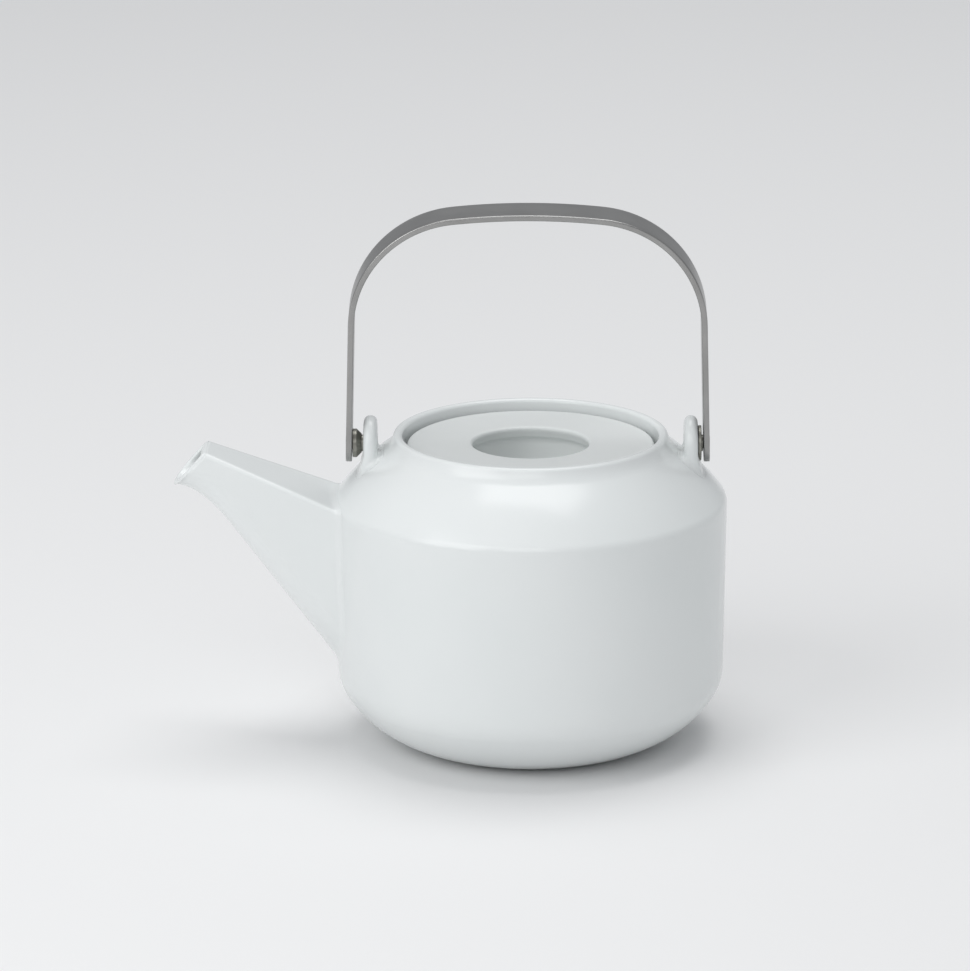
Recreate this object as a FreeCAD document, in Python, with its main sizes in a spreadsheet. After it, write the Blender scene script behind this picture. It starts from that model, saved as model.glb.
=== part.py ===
import FreeCAD, Part
import math
import os
import Sketcher

# Porcelain teapot with a lift-out mesh infuser, a flat lid with a finger well and a steel bail handle.
# Millimetres. +Z up, origin on the table at the centre of the foot ring, spout towards -X.

SIZES = {
    # pot: walls of revolution
    "wall_radius": 59.0,           # outer radius at the shoulder edge
    "wall_draft": 0.8,             # the wall is this much narrower at the heel
    "wall_low_height": 22.4,
    "heel_arc": 12.9,              # small arc between wall and bottom
    "heel_angle": 32.1,            # degrees that the small arc turns
    "foot_slope": 8.4,             # slope of the bottom curve where it meets the foot
    "foot_width": 4.5,
    "foot_recess": 1.6,
    "wall": 4.0,                   # porcelain wall
    "shoulder_height": 75.0,
    "shoulder_round": 4.5,
    "shoulder_slope": 45.0,        # from the shoulder edge to the foot of the collar
    "shoulder_arc": 75.0,          # the shoulder bulges between the two
    # collar and mouth
    "mouth_radius": 38.4,          # bore that the lid drops into
    "mouth_depth": 10.6,           # rim to ledge
    "rim_width": 2.5,
    "collar_draft": 0.25,           # the collar spreads this much towards its root
    "collar_rise": 1.4,            # collar root to rim
    "flare_width": 3.25,            # foot of the curve between shoulder and collar
    "flare_rise": 3.8,
    "flare_arc": 8.0,
    "ledge_width": 4.4,            # ledge that carries the infuser
    # pour hole through the wall behind the spout
    "pour_half_width": 7.5,
    "pour_above_heel": 13.6,
    "pour_below_shoulder": 15.0,
    # spout: reaches are measured outwards and rises upwards
    "spout_reach": 38.8,           # wall to the end of the flat top
    "spout_tip_rise": 14.9,        # shoulder edge to the end of the flat top
    "spout_tip_half": 7.7,
    "spout_root_half": 16.0,
    "spout_root_inset": 5.0,       # the root section lies inside the wall
    "spout_root_drop": 2.0,        # flat top below the shoulder edge there
    "spout_root_tail": 3.0,        # underside below the wall's low end there
    "lip_reach": 9.6,              # lip beyond the end of the flat top
    "lip_drop": 10.6,
    "throat_back": 7.3,            # sections behind the end of the flat top
    "neck_back": 13.8,
    "throat_low_back": 11.2,       # their undersides, behind and below the lip
    "throat_low_drop": 4.7,
    "neck_low_back": 18.2,
    "neck_low_drop": 13.7,
    "spout_wall": 2.8,
    "lip_wall": 1.5,
    # lugs and pivot
    "lug_gap": 5.0,                # collar rim to lug
    "lug_thickness": 4.1,
    "lug_half_width": 8.3,
    "lug_sink": 9.6,               # lugs run this far down before they are fitted to the shoulder
    "lug_round": 1.9,
    "pivot_rise": 1.9,            # above the foot of the flare
    "pin_radius": 2.5,
    "pin_clearance": 0.1,          # radial, in the lug
    "pin_setback": 0.6,            # pin end below the lug's inner face
    "pin_chamfer": 0.5,
    "rivet_radius": 1.7,
    "washer_clearance": 0.05,
    "front_washer_rim": 1.8,       # rim of the washer beyond the pin
    "front_washer_thickness": 2.65,
    "front_washer_bevel": 1.5,
    "rear_washer_rim": 2.8,
    "rear_washer_thickness": 1.0,
    "rear_washer_bevel": 0.2,
    "rear_washer_gap": 0.1,        # rear washer to its lug
    # handle
    "handle_gap": 2.56,            # lug to leg, each side, with the handle centred
    "handle_shift": 0.84,          # side play taken up towards the spout
    "handle_thickness": 1.8,
    "handle_width": 12.0,
    "handle_top": 74.05,            # crown above the pivot
    "handle_bend": 34.7,
    "handle_crown": 207.0,
    "handle_end": 5.2,             # leg below the pivot
    "handle_end_round": 5.0,
    "handle_splay": 1.6,           # degrees that each leg draws in towards the crown
    "leg_clearance": 0.15,         # sloping leg to the pin's shoulder and the front washer
    "handle_lean": 6.3,            # degrees towards -Y
    # infuser
    "sheet_metal": 0.8,
    "flange_clearance": 0.7,       # flange to the mouth bore
    "skirt_clearance": 1.9,        # skirt to the ledge's edge
    "skirt_thickness": 0.6,
    "skirt_drop": 7.0,
    "mesh_thickness": 0.4,
    "basket_depth": 50.2,          # ledge to the underside of the basket
    "base_ring_height": 4.0,
    "base_ring_lap": 2.0,
    "seam_thickness": 0.3,
    "seam_angle": 11.0,
    # lid
    "lid_clearance": 1.4,          # lid edge to the mouth bore
    "lid_drop": 3.1,               # lid top below the rim
    "lid_edge_round": 0.8,
    "lid_plate": 4.7,
    "lid_rim_width": 3.6,
    "hole_radius": 16.75,
    "hole_drop": 1.0,              # depth and width of the rounded lip of the hole
    "hole_lip": 1.0,
    "hole_relief": 1.9,            # the hole opens out this much below the lip
    "well_undercut": 3.85,
    "well_wall": 3.0,
    "well_depth": 16.7,
    "well_round": 9.0,
}

# Sizes that follow from the ones above.
DERIVED = {
    "wall_low_radius": "wall_radius - wall_draft",
    "heel_radius": "wall_low_radius - heel_arc * (1 - cos(heel_angle))",
    "heel_height": "wall_low_height - heel_arc * sin(heel_angle)",
    "bottom_arc": "heel_height / (cos(foot_slope) - sin(heel_angle))",
    "foot_radius": "heel_radius - bottom_arc * (cos(heel_angle) - sin(foot_slope))",
    "foot_inner": "foot_radius - foot_width",
    "rim_radius": "mouth_radius + rim_width",
    "collar_radius": "rim_radius + collar_draft",
    "flare_radius": "collar_radius + flare_width",
    "flare_height": "shoulder_height + (wall_radius - flare_radius) * tan(shoulder_slope)",
    "collar_height": "flare_height + flare_rise",
    "rim_height": "collar_height + collar_rise",
    "rim_arc": "rim_width / 2",
    "rim_low": "rim_height - rim_arc",
    "above_rim": "rim_height + 1",
    "ledge_height": "rim_height - mouth_depth",
    "ledge_radius": "mouth_radius - ledge_width",
    "floor_height": "foot_recess + wall",
    "floor_radius": "heel_radius - bottom_arc * cos(heel_angle)"
                    " + sqrt((bottom_arc - wall)^2 - (bottom_arc * cos(foot_slope) - floor_height)^2)",
    "inner_bottom_arc": "bottom_arc - wall",
    "inner_heel_radius": "heel_radius - wall * cos(heel_angle)",
    "inner_heel_height": "heel_height + wall * sin(heel_angle)",
    "inner_heel_arc": "heel_arc - wall",
    "inner_low_radius": "wall_low_radius - wall",
    "inner_wall_radius": "wall_radius - wall",
    "inner_shoulder": "shoulder_height - wall * (1 - sin(shoulder_slope)) / cos(shoulder_slope)",
    "ledge_low": "ledge_height - wall",
    "inner_cone_radius": "inner_wall_radius - (ledge_low - inner_shoulder) / tan(shoulder_slope)",
    "pour_low": "wall_low_height + pour_above_heel",
    "pour_high": "shoulder_height - pour_below_shoulder",
    "pour_length": "wall_radius + wall",
    "spout_tip": "wall_radius + spout_reach",
    "spout_tip_height": "shoulder_height + spout_tip_rise",
    "spout_lip": "spout_tip + lip_reach",
    "spout_lip_height": "spout_tip_height - lip_drop",
    "spout_throat": "spout_tip - throat_back",
    "spout_throat_low": "spout_lip - throat_low_back",
    "spout_throat_low_height": "spout_lip_height - throat_low_drop",
    "spout_neck": "spout_tip - neck_back",
    "spout_neck_low": "spout_lip - neck_low_back",
    "spout_neck_low_height": "spout_lip_height - neck_low_drop",
    "spout_root": "wall_radius - spout_root_inset",
    "spout_root_height": "shoulder_height - spout_root_drop",
    "spout_root_low_height": "wall_low_height - spout_root_tail",
    "spout_slope": "(spout_tip_half - spout_root_half) / (spout_tip - spout_root)",
    "spout_rise": "(spout_tip_height - spout_root_height) / (spout_tip - spout_root)",
    "pivot_height": "flare_height + pivot_rise",
    "lug_inner": "rim_radius + lug_gap",
    "lug_outer": "lug_inner + lug_thickness",
    "lug_foot": "flare_height - lug_sink",
    "lug_hole": "pin_radius + pin_clearance",
    "lug_reach": "lug_outer + lug_thickness",
    "pin_end": "lug_inner + pin_setback",
    "pin_tip_radius": "pin_radius - pin_chamfer",
    "handle_half": "lug_outer + handle_gap + handle_thickness",
    "front_leg_outer": "handle_half + handle_shift",
    "front_leg_inner": "front_leg_outer - handle_thickness",
    "rear_leg_outer": "handle_half - handle_shift",
    "rear_leg_inner": "rear_leg_outer - handle_thickness",
    "pin_tip": "pin_end + pin_chamfer",
    "washer_bore": "pin_radius + washer_clearance",
    "front_pin_shoulder": "front_leg_inner - leg_clearance",
    "rear_pin_shoulder": "rear_leg_inner - leg_clearance",
    "front_washer_low": "front_pin_shoulder - front_washer_thickness",
    "front_washer_radius": "pin_radius + front_washer_rim",
    "front_washer_bevel_from": "front_washer_low + front_washer_bevel",
    "front_washer_bevel_radius": "front_washer_radius - front_washer_bevel",
    "rear_washer_low": "lug_outer + rear_washer_gap",
    "rear_washer_high": "rear_washer_low + rear_washer_thickness",
    "rear_washer_radius": "pin_radius + rear_washer_rim",
    "rear_washer_bevel_from": "rear_washer_low + rear_washer_bevel",
    "rear_washer_bevel_radius": "rear_washer_radius - rear_washer_bevel",
    "crown_centre": "handle_top - handle_crown",
    "arc_gap": "handle_crown - handle_bend",
    "bend_start_x": "handle_half - handle_bend * cos(handle_splay)",
    "bend_start_z": "-handle_bend * sin(handle_splay) - crown_centre",
    "leg_along": "bend_start_z * cos(handle_splay) - bend_start_x * sin(handle_splay)",
    "leg_rise": "sqrt(leg_along^2 - bend_start_x^2 - bend_start_z^2 + arc_gap^2) - leg_along",
    "bend_x": "bend_start_x - leg_rise * sin(handle_splay)",
    "bend_z": "bend_start_z + leg_rise * cos(handle_splay)",
    "leg_top_x": "handle_half - leg_rise * sin(handle_splay)",
    "leg_top_z": "leg_rise * cos(handle_splay)",
    "leg_foot_x": "handle_half + handle_end * tan(handle_splay)",
    "bend_high_x": "bend_x * handle_crown / arc_gap",
    "bend_high_z": "crown_centre + bend_z * handle_crown / arc_gap",
    "inner_crown": "handle_crown - handle_thickness",
    "inner_bend": "handle_bend - handle_thickness",
    "inner_top": "handle_top - handle_thickness",
    "inner_high_x": "bend_x * inner_crown / arc_gap",
    "inner_high_z": "crown_centre + bend_z * inner_crown / arc_gap",
    "inner_leg_top_x": "leg_top_x - handle_thickness * cos(handle_splay)",
    "inner_leg_top_z": "leg_top_z - handle_thickness * sin(handle_splay)",
    "inner_leg_foot_x": "leg_foot_x - handle_thickness / cos(handle_splay)",
    "flange_radius": "mouth_radius - flange_clearance",
    "flange_top": "ledge_height + sheet_metal",
    "skirt_radius": "ledge_radius - skirt_clearance",
    "skirt_low": "ledge_height - skirt_drop",
    "basket_radius": "skirt_radius - skirt_thickness",
    "mesh_radius": "basket_radius - mesh_thickness",
    "basket_bottom": "ledge_height - basket_depth",
    "base_ring_floor": "basket_bottom + skirt_thickness",
    "base_ring_top": "basket_bottom + base_ring_height",
    "base_ring_inner": "basket_radius - base_ring_lap",
    "base_mesh_top": "base_ring_floor + mesh_thickness",
    "side_mesh_top": "flange_top - mesh_thickness",
    "seam_radius": "basket_radius + seam_thickness",
    "lid_height": "rim_height - lid_drop",
    "lid_radius": "mouth_radius - lid_clearance",
    "lid_edge_radius": "lid_radius - lid_edge_round",
    "lid_edge_height": "lid_height - lid_edge_round",
    "lid_low": "flange_top",
    "lid_under": "lid_height - lid_plate",
    "lid_rim_inner": "lid_radius - lid_rim_width",
    "hole_height": "lid_height - hole_drop",
    "hole_lip_radius": "hole_radius + hole_lip",
    "hole_under_radius": "hole_radius + hole_relief",
    "hole_arc": "(hole_drop^2 + hole_lip^2) / (2 * hole_drop)",
    "well_radius": "hole_radius + well_undercut",
    "well_floor": "lid_height - well_depth",
    "well_outer": "well_radius + well_wall",
    "well_flat": "well_radius - well_round",
    "well_bend": "well_floor + well_round",
    "well_bottom": "well_floor - well_wall",
    "well_outer_arc": "well_round + well_wall",
}

# Spout sections from the root to the lip: reach of the flat top, reach and height of the underside, wall.
SPOUT_SECTIONS = (
    ("root", "spout_root", "spout_root", "spout_root_low_height", "spout_wall"),
    ("neck", "spout_neck", "spout_neck_low", "spout_neck_low_height", "spout_wall"),
    ("throat", "spout_throat", "spout_throat_low", "spout_throat_low_height", "spout_wall"),
    ("tip", "spout_tip", "spout_lip", "spout_lip_height", "lip_wall"),
)


def spout_section_cells():
    """Half width, depth, tilt and inner sizes of each spout section."""
    cells = {}
    for name, top, low, low_height, wall in SPOUT_SECTIONS:
        cells["half_" + name] = f"spout_root_half + spout_slope * ({top} - spout_root)"
        cells["top_" + name] = f"spout_root_height + spout_rise * ({top} - spout_root)"
        cells["depth_" + name] = f"sqrt(({low} - {top})^2 + (top_{name} - {low_height})^2)"
        cells["tilt_" + name] = f"atan(({low} - {top}) / (top_{name} - {low_height}))"
        cells["centre_" + name] = f"depth_{name} - half_{name}"
        cells["inner_half_" + name] = f"half_{name} - {wall}"
        cells["inner_top_" + name] = wall
    return cells


def add_sheet(doc):
    """Spreadsheet with the driving sizes as plain numbers and the derived ones as formulas."""
    sheet = doc.addObject("Spreadsheet::Sheet", "Sizes")
    cells = {alias: str(value) for alias, value in SIZES.items()}
    cells.update({alias: "=" + formula for alias, formula in DERIVED.items()})
    cells.update({alias: "=" + formula for alias, formula in spout_section_cells().items()})
    for row, (alias, content) in enumerate(cells.items(), start=1):
        sheet.set(f"A{row}", alias)
        sheet.set(f"B{row}", content)
        sheet.setAlias(f"B{row}", alias)
    doc.recompute()
    return sheet


def size(doc, name):
    """Value of a named size; a leading minus negates it, and "0" is zero."""
    if name == "0":
        return 0.0
    if name.startswith("-"):
        return -size(doc, name[1:])
    return float(doc.Sizes.get(name))


def expression(name):
    if name.startswith("-"):
        return "-Sizes." + name[1:]
    return "Sizes." + name


def new_body(doc, label):
    body = doc.addObject("PartDesign::Body", label)
    body.Label = label
    return body


def new_sketch(body, name, plane):
    """Sketch on one of the body's own origin planes."""
    sketch = body.newObject("Sketcher::SketchObject", name)
    support = next(feature for feature in body.Origin.OriginFeatures if feature.Role == plane)
    sketch.AttachmentSupport = [(support, "")]
    sketch.MapMode = "FlatFace"
    return sketch


def bind(sketch, kind, references, name):
    """Add a dimension and bind it to a named size."""
    index = sketch.addConstraint(Sketcher.Constraint(kind, *references, size(sketch.Document, name)))
    sketch.setExpression(f"Constraints[{index}]", expression(name))


def place_point(sketch, geometry, end, x_name, y_name):
    """Fix one end of a segment by its two coordinates."""
    for kind, name, axis in (("DistanceX", x_name, -2), ("DistanceY", y_name, -1)):
        if name == "0":
            sketch.addConstraint(Sketcher.Constraint("PointOnObject", geometry, end, axis))
        else:
            bind(sketch, kind, (-1, 1, geometry, end), name)


def arc_through(start, finish, radius, side):
    """Minor arc from start to finish; side 1 has its centre on the left of the way, -1 on the right."""
    chord = finish - start
    half = chord.Length / 2
    normal = FreeCAD.Vector(-chord.y, chord.x, 0).normalize() * side
    rise = math.sqrt(max(radius * radius - half * half, 0.0))
    centre = (start + finish) / 2 + normal * rise
    middle = centre - normal * radius
    return Part.Arc(start, middle, finish)


def outline(sketch, corners):
    """Closed outline. A corner is (x, y), or (x, y, radius, side) when an arc leads on from it."""
    points = [FreeCAD.Vector(size(sketch.Document, c[0]), size(sketch.Document, c[1]), 0) for c in corners]
    ends = []
    for number, corner in enumerate(corners):
        start = points[number]
        finish = points[(number + 1) % len(corners)]
        if len(corner) == 4:
            radius = size(sketch.Document, corner[2])
            geometry = sketch.addGeometry(arc_through(start, finish, radius, corner[3]), False)
            if (finish - start).Length > 2 * radius - 1e-6:
                bind_centre(sketch, geometry, corner[1])
            else:
                bind(sketch, "Radius", (geometry,), corner[2])
        else:
            geometry = sketch.addGeometry(Part.LineSegment(start, finish), False)
        forward = sketch.getPoint(geometry, 1).distanceToPoint(start) < 1e-6
        ends.append((geometry, 1, 2) if forward else (geometry, 2, 1))
    for number, corner in enumerate(corners):
        geometry, first, _ = ends[number]
        previous, _, last = ends[number - 1]
        sketch.addConstraint(Sketcher.Constraint("Coincident", previous, last, geometry, first))
        place_point(sketch, geometry, first, corner[0], corner[1])


def arch(sketch, half, flat, centre):
    """Outline with one flat end and one round end: half width, flat end's y, round end's centre y."""
    half_width = size(sketch.Document, half)
    flat_y = size(sketch.Document, flat)
    centre_y = size(sketch.Document, centre)
    way = 1 if centre_y > flat_y else -1
    corners = [FreeCAD.Vector(x, y, 0) for x, y in
               ((half_width, flat_y), (half_width, centre_y), (-half_width, centre_y), (-half_width, flat_y))]
    round_end = Part.Arc(corners[1], FreeCAD.Vector(0, centre_y + way * half_width, 0), corners[2])
    side = sketch.addGeometry(Part.LineSegment(corners[0], corners[1]), False)
    cap = sketch.addGeometry(round_end, False)
    other = sketch.addGeometry(Part.LineSegment(corners[2], corners[3]), False)
    base = sketch.addGeometry(Part.LineSegment(corners[3], corners[0]), False)
    cap_start, cap_end = (1, 2) if way > 0 else (2, 1)
    joins = ((side, 2, cap, cap_start), (cap, cap_end, other, 1), (other, 2, base, 1), (base, 2, side, 1))
    for join in joins:
        sketch.addConstraint(Sketcher.Constraint("Coincident", *join))
    place_point(sketch, side, 1, half, flat)
    place_point(sketch, side, 2, half, centre)
    place_point(sketch, other, 1, "-" + half, centre)
    place_point(sketch, other, 2, "-" + half, flat)
    bind_centre(sketch, cap, centre)


def bind_centre(sketch, geometry, name):
    """Height of an arc's centre."""
    if name == "0":
        sketch.addConstraint(Sketcher.Constraint("PointOnObject", geometry, 3, -1))
    else:
        bind(sketch, "DistanceY", (-1, 1, geometry, 3), name)


def circle(sketch, radius, height):
    """Circle centred on the vertical axis."""
    centre = FreeCAD.Vector(0, size(sketch.Document, height), 0)
    shape = Part.Circle(centre, FreeCAD.Vector(0, 0, 1), size(sketch.Document, radius))
    geometry = sketch.addGeometry(shape, False)
    sketch.addConstraint(Sketcher.Constraint("PointOnObject", geometry, 3, -2))
    bind_centre(sketch, geometry, height)
    bind(sketch, "Radius", (geometry,), radius)


def revolve(body, sketch, axis="V_Axis", kind="Revolution"):
    """Full turn of a sketch about one of its axes; kind Groove removes it."""
    feature = body.newObject("PartDesign::" + kind, sketch.Name + kind)
    feature.Profile = sketch
    feature.ReferenceAxis = (sketch, [axis])
    feature.Angle = 360
    return feature


def volume(body):
    body.Document.recompute()
    return body.Shape.Volume


def cut_pocket(body, sketch, length, reverse):
    """Pocket of a named depth that has to remove material."""
    before = volume(body)
    pocket = body.newObject("PartDesign::Pocket", sketch.Name + "Pocket")
    pocket.Profile = sketch
    pocket.Type = 0
    pocket.Reversed = reverse
    pocket.setExpression("Length", expression(length))
    if volume(body) >= before:
        raise RuntimeError(sketch.Name + " cuts nothing")


def round_edges(body, radius, wanted, name):
    """Fillet the edges of the body's tip that pass a test."""
    body.Document.recompute()
    base = body.Tip
    edges = [f"Edge{n}" for n, edge in enumerate(base.Shape.Edges, start=1) if wanted(edge)]
    fillet = body.newObject("PartDesign::Fillet", name)
    fillet.Base = (base, edges)
    fillet.setExpression("Radius", expression(radius))


def cut_from(doc, label, base, tool):
    """Boolean cut of two objects, named as a sub-part."""
    cut = doc.addObject("Part::Cut", label)
    cut.Label = label
    cut.Base = base
    cut.Tool = tool
    return cut


def at_circle(doc, radius, height):
    """Test for a circular edge about the vertical axis at a named radius and height."""
    target_radius = size(doc, radius)
    target_height = size(doc, height)

    def wanted(edge):
        if not isinstance(edge.Curve, Part.Circle):
            return False
        centre = edge.Curve.Center
        on_axis = math.hypot(centre.x, centre.y) < 0.01
        return on_axis and abs(centre.z - target_height) < 0.01 and abs(edge.Curve.Radius - target_radius) < 0.01

    return wanted


# Pot

POT_OUTLINE = (
    ("0", "0"),
    ("foot_radius", "0", "bottom_arc", 1),
    ("heel_radius", "heel_height", "heel_arc", 1),
    ("wall_low_radius", "wall_low_height"),
    ("wall_radius", "shoulder_height", "shoulder_arc", 1),
    ("flare_radius", "flare_height", "flare_arc", -1),
    ("collar_radius", "collar_height"),
    ("rim_radius", "rim_low", "rim_arc", 1),
    ("mouth_radius", "rim_low"),
    ("0", "rim_low"),
)

CAVITY_OUTLINE = (
    ("0", "floor_height"),
    ("floor_radius", "floor_height", "inner_bottom_arc", 1),
    ("inner_heel_radius", "inner_heel_height", "inner_heel_arc", 1),
    ("inner_low_radius", "wall_low_height"),
    ("inner_wall_radius", "inner_shoulder"),
    ("inner_cone_radius", "ledge_low"),
    ("ledge_radius", "ledge_low"),
    ("ledge_radius", "ledge_height"),
    ("mouth_radius", "ledge_height"),
    ("mouth_radius", "above_rim"),
    ("0", "above_rim"),
)

FOOT_RECESS = (("0", "0"), ("foot_inner", "0"), ("foot_inner", "foot_recess"), ("0", "foot_recess"))


def solid_pot(doc, label):
    """The pot's outside as one solid of revolution, with its shoulder edge rounded."""
    body = new_body(doc, label)
    sketch = new_sketch(body, label + "_outline", "XZ_Plane")
    outline(sketch, POT_OUTLINE)
    revolve(body, sketch)
    round_edges(body, "shoulder_round", at_circle(doc, "wall_radius", "shoulder_height"), label + "_round")
    return body


def pour_hole(body):
    """Oblong hole through the wall behind the spout."""
    sketch = new_sketch(body, "pour_hole", "YZ_Plane")
    outline(sketch, (
        ("pour_half_width", "pour_low"),
        ("pour_half_width", "pour_high", "pour_half_width", 1),
        ("-pour_half_width", "pour_high"),
        ("-pour_half_width", "pour_low", "pour_half_width", 1),
    ))
    cut_pocket(body, sketch, "pour_length", False)


def pot_body(doc):
    body = solid_pot(doc, "pot_body")
    for name, corners in (("pot_cavity", CAVITY_OUTLINE), ("foot_hollow", FOOT_RECESS)):
        sketch = new_sketch(body, name, "XZ_Plane")
        outline(sketch, corners)
        revolve(body, sketch, kind="Groove")
    pour_hole(body)
    return body


# Spout

def spout_sketch(body, name, prefix, top_reach, half, top):
    """One section of the spout, in the tilted plane through its top edge and its underside."""
    doc = body.Document
    sketch = new_sketch(body, prefix + name, "YZ_Plane")
    place = FreeCAD.Vector(0, size(doc, "top_" + name), -size(doc, top_reach))
    turn = FreeCAD.Rotation(FreeCAD.Vector(1, 0, 0), size(doc, "tilt_" + name))
    sketch.AttachmentOffset = FreeCAD.Placement(place, turn)
    sketch.setExpression("AttachmentOffset.Base.y", expression("top_" + name))
    sketch.setExpression("AttachmentOffset.Base.z", expression("-" + top_reach))
    sketch.setExpression("AttachmentOffset.Rotation.Angle", expression("tilt_" + name))
    arch(sketch, half, top, "-centre_" + name)
    return sketch


def loft(body, sketches, kind):
    """Straight-sided from the root to the neck, then a smooth curve out to the lip."""
    for run, ruled in ((sketches[:2], True), (sketches[1:], False)):
        feature = body.newObject("PartDesign::" + kind, run[0].Name + kind)
        feature.Profile = run[0]
        feature.Sections = run[1:]
        feature.Ruled = ruled
        body.Document.recompute()


def spout(doc, pot_blank):
    """Flat-topped spout, hollow, trimmed to the outside of the pot."""
    body = new_body(doc, "spout_blank")
    outer = [spout_sketch(body, name, "outer_", top, "half_" + name, "0")
             for name, top, _, _, _ in SPOUT_SECTIONS]
    loft(body, outer, "AdditiveLoft")
    before = volume(body)
    inner = [spout_sketch(body, name, "inner_", top, "inner_half_" + name, "-inner_top_" + name)
             for name, top, _, _, _ in SPOUT_SECTIONS]
    loft(body, inner, "SubtractiveLoft")
    if volume(body) >= before:
        raise RuntimeError("the spout is not hollow")
    return cut_from(doc, "spout", body, pot_blank)


# Lugs, pins and washers; side is -1 at the front (spout) and 1 at the rear

def pad_across(body, sketch, start, length, side):
    """Pad a sketch of the YZ plane along X, from a named distance on the given side."""
    sign = "-" if side < 0 else ""
    sketch.AttachmentOffset = FreeCAD.Placement(
        FreeCAD.Vector(0, 0, side * size(body.Document, start)), FreeCAD.Rotation())
    sketch.setExpression("AttachmentOffset.Base.z", expression(sign + start))
    pad = body.newObject("PartDesign::Pad", sketch.Name + "Pad")
    pad.Profile = sketch
    pad.Reversed = side < 0
    pad.setExpression("Length", expression(length))


def lug(doc, label, side, pot_blank):
    """Upright tab with a round top and rounded edges, fitted to the pot's shoulder."""
    body = new_body(doc, label + "_blank")
    sketch = new_sketch(body, label + "_outline", "YZ_Plane")
    arch(sketch, "lug_half_width", "lug_foot", "pivot_height")
    pad_across(body, sketch, "lug_inner", "lug_thickness", side)
    foot = size(doc, "lug_foot")
    faces = (size(doc, "lug_inner"), size(doc, "lug_outer"))

    def on_a_face(edge):
        box = edge.BoundBox
        flat = box.XLength < 0.001 and min(abs(abs(box.XMin) - x) for x in faces) < 0.001
        return flat and box.ZMax > foot + 0.001

    round_edges(body, "lug_round", on_a_face, label + "_round")
    hole = new_sketch(body, label + "_hole", "YZ_Plane")
    circle(hole, "lug_hole", "pivot_height")
    cut_pocket(body, hole, "lug_reach", side > 0)
    return cut_from(doc, label, body, pot_blank)


def turned_part(doc, label, corners):
    """Part of revolution about the pivot axis, drawn along X and raised to the pivot."""
    body = new_body(doc, label)
    sketch = new_sketch(body, label + "_outline", "XZ_Plane")
    outline(sketch, corners)
    revolve(body, sketch, axis="H_Axis")
    body.Placement = FreeCAD.Placement(FreeCAD.Vector(0, 0, size(doc, "pivot_height")), FreeCAD.Rotation())
    body.setExpression("Placement.Base.z", expression("pivot_height"))
    return body


def pivot_pin(doc, label, leg_outer, shoulder, side):
    """Stub pin whose rivet tail is set flush in the handle's leg."""
    sign = "-" if side < 0 else ""
    return turned_part(doc, label, (
        (sign + leg_outer, "0"),
        (sign + leg_outer, "rivet_radius"),
        (sign + shoulder, "rivet_radius"),
        (sign + shoulder, "pin_radius"),
        (sign + "pin_tip", "pin_radius"),
        (sign + "pin_end", "pin_tip_radius"),
        (sign + "pin_end", "0"),
    ))


def washer(doc, label, low, high, radius, bevel, side):
    """Loose washer on a pin, bevelled on its lug side."""
    sign = "-" if side < 0 else ""
    return turned_part(doc, label, (
        (sign + low, "washer_bore"),
        (sign + high, "washer_bore"),
        (sign + high, radius),
        (sign + bevel + "_from", radius),
        (sign + low, bevel + "_radius"),
    ))


# Handle

BAND_OUTLINE = (
    ("0", "inner_top", "inner_crown", -1),
    ("inner_high_x", "inner_high_z", "inner_bend", -1),
    ("inner_leg_top_x", "inner_leg_top_z"),
    ("inner_leg_foot_x", "-handle_end"),
    ("leg_foot_x", "-handle_end"),
    ("leg_top_x", "leg_top_z", "handle_bend", 1),
    ("bend_high_x", "bend_high_z", "handle_crown", 1),
    ("0", "handle_top"),
)


def handle_band(doc):
    """Flat steel band bent to a bail, drawn upright about its pivot and leant over."""
    body = new_body(doc, "handle_band")
    sketch = new_sketch(body, "band_outline", "XZ_Plane")
    outline(sketch, BAND_OUTLINE)
    pad = body.newObject("PartDesign::Pad", "half_band")
    pad.Profile = sketch
    pad.Midplane = True
    pad.setExpression("Length", expression("handle_width"))
    mirror = body.newObject("PartDesign::Mirrored", "whole_band")
    mirror.Originals = [pad]
    mirror.MirrorPlane = (sketch, ["V_Axis"])
    body.Tip = mirror
    low = -size(doc, "handle_end")

    def at_leg_end(edge):
        box = edge.BoundBox
        return box.ZMax < low + 0.001 and box.YLength < 0.001

    round_edges(body, "handle_end_round", at_leg_end, "leg_ends")
    for name, reverse in (("front_rivet_hole", False), ("rear_rivet_hole", True)):
        hole = new_sketch(body, name, "YZ_Plane")
        circle(hole, "rivet_radius", "0")
        cut_pocket(body, hole, "front_leg_outer", reverse)
    lean = FreeCAD.Rotation(FreeCAD.Vector(1, 0, 0), size(doc, "handle_lean"))
    shift = FreeCAD.Vector(-size(doc, "handle_shift"), 0, size(doc, "pivot_height"))
    body.Placement = FreeCAD.Placement(shift, lean)
    body.setExpression("Placement.Base.x", expression("-handle_shift"))
    body.setExpression("Placement.Base.z", expression("pivot_height"))
    body.setExpression("Placement.Rotation.Angle", expression("handle_lean"))
    return body


# Infuser and lid: parts of revolution about the pot's axis

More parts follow.
